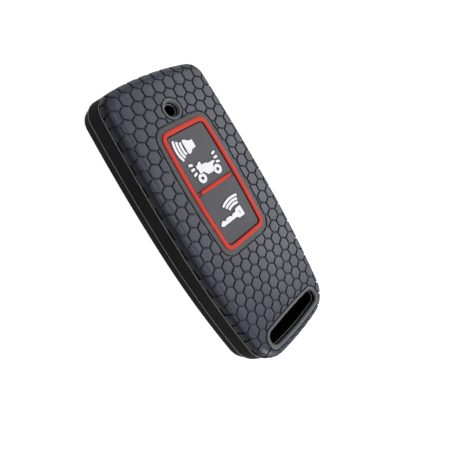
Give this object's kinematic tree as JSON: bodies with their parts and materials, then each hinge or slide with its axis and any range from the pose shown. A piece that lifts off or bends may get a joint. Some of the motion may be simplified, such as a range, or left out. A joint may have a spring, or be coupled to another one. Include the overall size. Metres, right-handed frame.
{
  "type": "key fob cover",
  "caption": "Soft black silicone sleeve for a two-button smart key, with a honeycomb grip, red-framed push pads, a lamp hole and a key ring slot.",
  "frame": {"origin": "middle of the bounding box at the back face, on which the cover lies", "axes": "+X across to the right seen from the front, +Y towards the lamp end, +Z out of the front face"},
  "size_m": [0.036, 0.0836, 0.0143],
  "materials": {
    "sleeve_black": "satin moulded silicone",
    "grip_black": "satin moulded silicone",
    "button_black": "matte moulded silicone",
    "signal_red": "satin coloured silicone",
    "symbol_white": "satin coloured silicone"
  },
  "bodies": {
    "sleeve_body": {"sleeve": "sleeve_black", "hex_grip": "grip_black", "red_frame": "signal_red", "divider_bar": "signal_red"},
    "upper_pad": {"upper_button": "button_black", "speaker_horn": "symbol_white", "sound_waves": "symbol_white", "motorcycle": "symbol_white", "front_flash_marks": "symbol_white", "rear_flash_marks": "symbol_white"},
    "lower_pad": {"lower_button": "button_black", "key_symbol": "symbol_white", "signal_waves": "symbol_white"}
  },
  "joints": [
    {"name": "upper_press", "type": "slide", "parent": "sleeve_body", "child": "upper_pad", "axis": [0, 0, -1], "range_m": [0, 0.0008], "stiffness_N_per_m": 1500},
    {"name": "lower_press", "type": "slide", "parent": "sleeve_body", "child": "lower_pad", "axis": [0, 0, -1], "range_m": [0, 0.0008], "stiffness_N_per_m": 1500}
  ]
}
